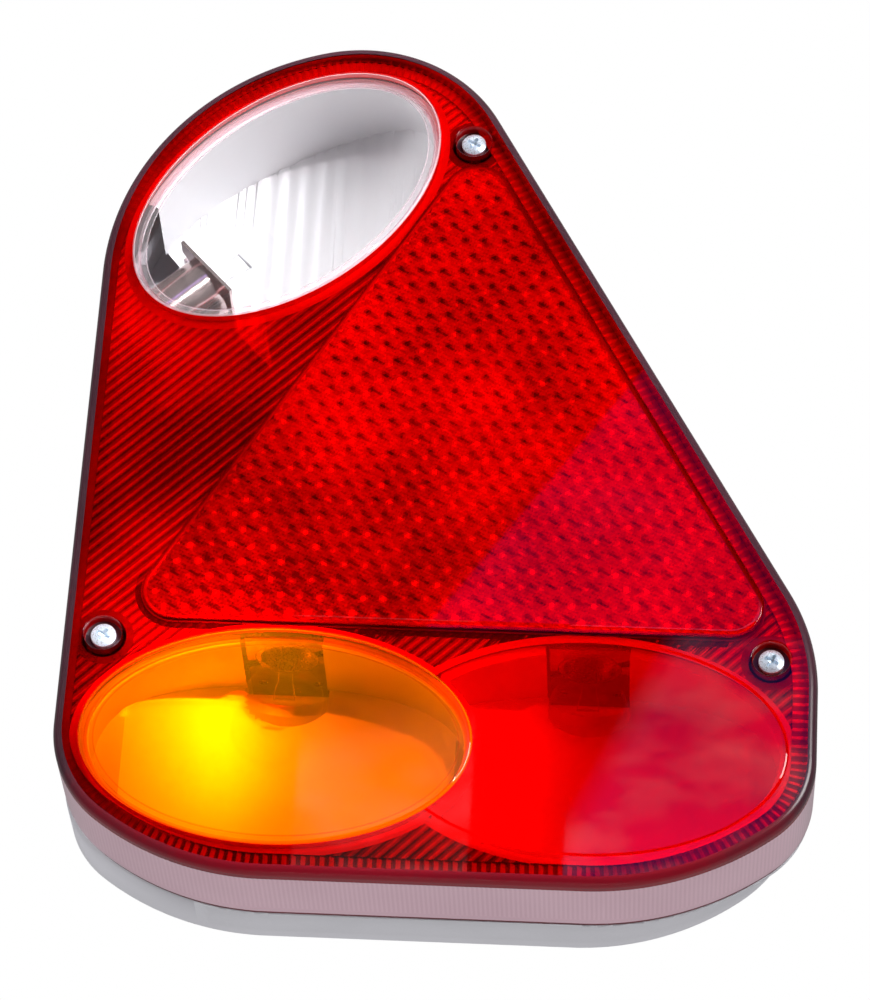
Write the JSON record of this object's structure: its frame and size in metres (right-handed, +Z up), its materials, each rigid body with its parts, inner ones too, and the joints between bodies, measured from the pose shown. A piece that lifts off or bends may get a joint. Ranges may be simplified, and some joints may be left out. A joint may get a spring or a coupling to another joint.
{
  "type": "trailer tail light",
  "caption": "Teardrop trailer tail light: red lens with a triangular reflex reflector, a clear reversing window, an amber indicator window and a red stop chamber, on a grey base.",
  "frame": {"origin": "midway between the two mounting studs, on the back face of the base", "axes": "+Z up, the lens faces -Y, +Y points out of the back face along the studs, +X towards the triangle's slanted side"},
  "size_m": [0.1793, 0.064, 0.2301],
  "materials": {
    "grey_plastic": "satin",
    "seal_rubber": "matt",
    "black_rubber": "matt",
    "zinc_steel": "satin",
    "bowl_white": "gloss",
    "lens_red": "gloss",
    "lens_clear": "gloss",
    "lens_amber": "gloss",
    "reflex_red": "prismatic",
    "reflex_tray": "satin",
    "holder_steel": "bright",
    "insulator_brown": "matt",
    "conductor_brass": "satin",
    "terminal_plastic": "matt",
    "bulb_brass": "bright",
    "bulb_glass": "clear",
    "filament_wire": "matt"
  },
  "bodies": {
    "base": {"base_housing": "grey_plastic", "gasket": "seal_rubber", "cable_grommet": "black_rubber", "mounting_studs": "zinc_steel", "screw_inserts": "conductor_brass", "earth_strip": "conductor_brass", "terminal_block": "terminal_plastic", "terminal_screws": "zinc_steel", "reflector_reverse": "bowl_white", "reflector_indicator": "bowl_white", "reflector_stop": "bowl_white", "holder_reverse": "holder_steel", "holder_indicator": "holder_steel", "holder_stop": "holder_steel", "insulator_reverse": "insulator_brown", "insulator_indicator": "insulator_brown", "insulator_stop": "insulator_brown", "contact_reverse": "conductor_brass", "contact_indicator": "conductor_brass", "contact_stop": "conductor_brass"},
    "lens": {"lens_shell": "lens_red", "window_reverse": "lens_clear", "window_indicator": "lens_amber", "reflex_prism": "reflex_red", "reflex_back": "reflex_tray"},
    "screw_top": {"lens_screw_top": "zinc_steel"},
    "screw_left": {"lens_screw_left": "zinc_steel"},
    "screw_right": {"lens_screw_right": "zinc_steel"},
    "bulb_reverse": {"bulb_cap_reverse": "bulb_brass", "bulb_glass_reverse": "bulb_glass", "filament_reverse": "filament_wire"},
    "bulb_indicator": {"bulb_cap_indicator": "bulb_brass", "bulb_glass_indicator": "bulb_glass", "filament_indicator": "filament_wire"},
    "bulb_stop": {"bulb_cap_stop": "bulb_brass", "bulb_glass_stop": "bulb_glass", "filament_stop": "filament_wire"}
  },
  "joints": [
    {"name": "lens_lift", "type": "slide", "parent": "base", "child": "lens", "axis": [0, -1, 0], "range_m": [0, 0.06]},
    {"name": "screw_top_turn", "type": "hinge", "parent": "lens", "child": "screw_top", "pos_m": [-0.0016, -0.02, 0.1067], "axis": [0, -1, 0], "continuous": true},
    {"name": "screw_left_turn", "type": "hinge", "parent": "lens", "child": "screw_left", "pos_m": [-0.0824, -0.02, -0.0352], "axis": [0, -1, 0], "continuous": true},
    {"name": "screw_right_turn", "type": "hinge", "parent": "lens", "child": "screw_right", "pos_m": [0.0762, -0.02, -0.0359], "axis": [0, -1, 0], "continuous": true},
    {"name": "bulb_reverse_twist", "type": "hinge", "parent": "base", "child": "bulb_reverse", "pos_m": [-0.06656, -0.024, 0.07149], "axis": [0.723, 0, 0.6909], "range_deg": [0, 20]},
    {"name": "bulb_indicator_twist", "type": "hinge", "parent": "base", "child": "bulb_indicator", "pos_m": [-0.0396, -0.024, -0.0325], "axis": [0, 0, -1], "range_deg": [0, 20]},
    {"name": "bulb_stop_twist", "type": "hinge", "parent": "base", "child": "bulb_stop", "pos_m": [0.0332, -0.024, -0.0325], "axis": [0, 0, -1], "range_deg": [0, 20]}
  ]
}
